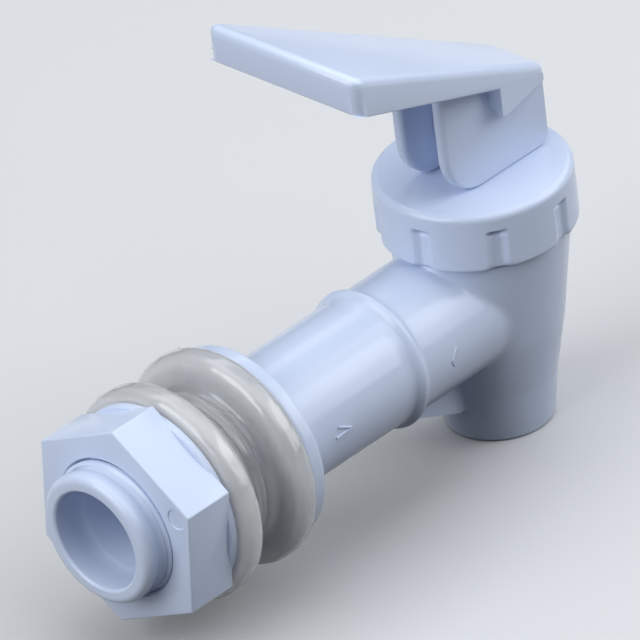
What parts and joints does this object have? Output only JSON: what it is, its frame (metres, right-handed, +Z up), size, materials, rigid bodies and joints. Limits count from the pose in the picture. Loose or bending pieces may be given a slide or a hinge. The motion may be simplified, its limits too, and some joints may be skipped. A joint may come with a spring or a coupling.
{
  "type": "jug spigot",
  "caption": "Plastic press-lever tap for a water jug, with a threaded shank, two silicone washers and a hexagonal lock nut.",
  "frame": {"origin": "on the shank's axis, at the rear washer's sealing face, which is where the jug's outer wall lies", "axes": "+Z up, +Y along the shank into the jug, the spout hangs at -Y"},
  "size_m": [0.0314, 0.0901, 0.073],
  "materials": {
    "white_plastic": "moulded, satin gloss, faintly blue white",
    "clear_silicone": "milky translucent silicone, glossy",
    "inner_silicone": "milky silicone",
    "spring_steel": "drawn stainless wire"
  },
  "bodies": {
    "tap": {"tap_body": "white_plastic", "bonnet_cap": "white_plastic", "bonnet_gasket": "inner_silicone", "rear_washer": "clear_silicone", "return_spring": "spring_steel"},
    "plug": {"valve_plug": "inner_silicone"},
    "stem": {"valve_stem": "white_plastic", "stem_o_ring": "inner_silicone"},
    "lever": {"lever_handle": "white_plastic"},
    "inner_washer": {"front_washer": "clear_silicone"},
    "nut": {"lock_nut": "white_plastic"}
  },
  "joints": [
    {"name": "lever_press", "type": "hinge", "parent": "stem", "child": "lever", "pos_m": [0, -0.0534, 0.0253], "axis": [-1, 0, 0], "range_deg": [0, 45]},
    {"name": "stem_swivel", "type": "hinge", "parent": "plug", "child": "stem", "pos_m": [0, -0.0534, 0], "axis": [0, 0, 1], "continuous": true},
    {"name": "stem_lift", "type": "slide", "parent": "tap", "child": "plug", "axis": [0, 0, 1], "range_m": [0, 0.00227], "stiffness_N_per_m": 500, "springref_m": -0.004, "deforming": ["return_spring"]},
    {"name": "washer_slide", "type": "slide", "parent": "tap", "child": "inner_washer", "axis": [0, 1, 0], "range_m": [0, 0.0055]},
    {"name": "nut_turn", "type": "hinge", "parent": "inner_washer", "child": "nut", "pos_m": [0, 0, 0], "axis": [0, 1, 0], "range_deg": [0, 1080]}
  ],
  "couplings": [
    {"joint": "lever_press", "follows": "stem_lift", "rad_per_m": 344.83},
    {"joint": "washer_slide", "follows": "nut_turn", "m_per_rad": 0.00028648}
  ]
}
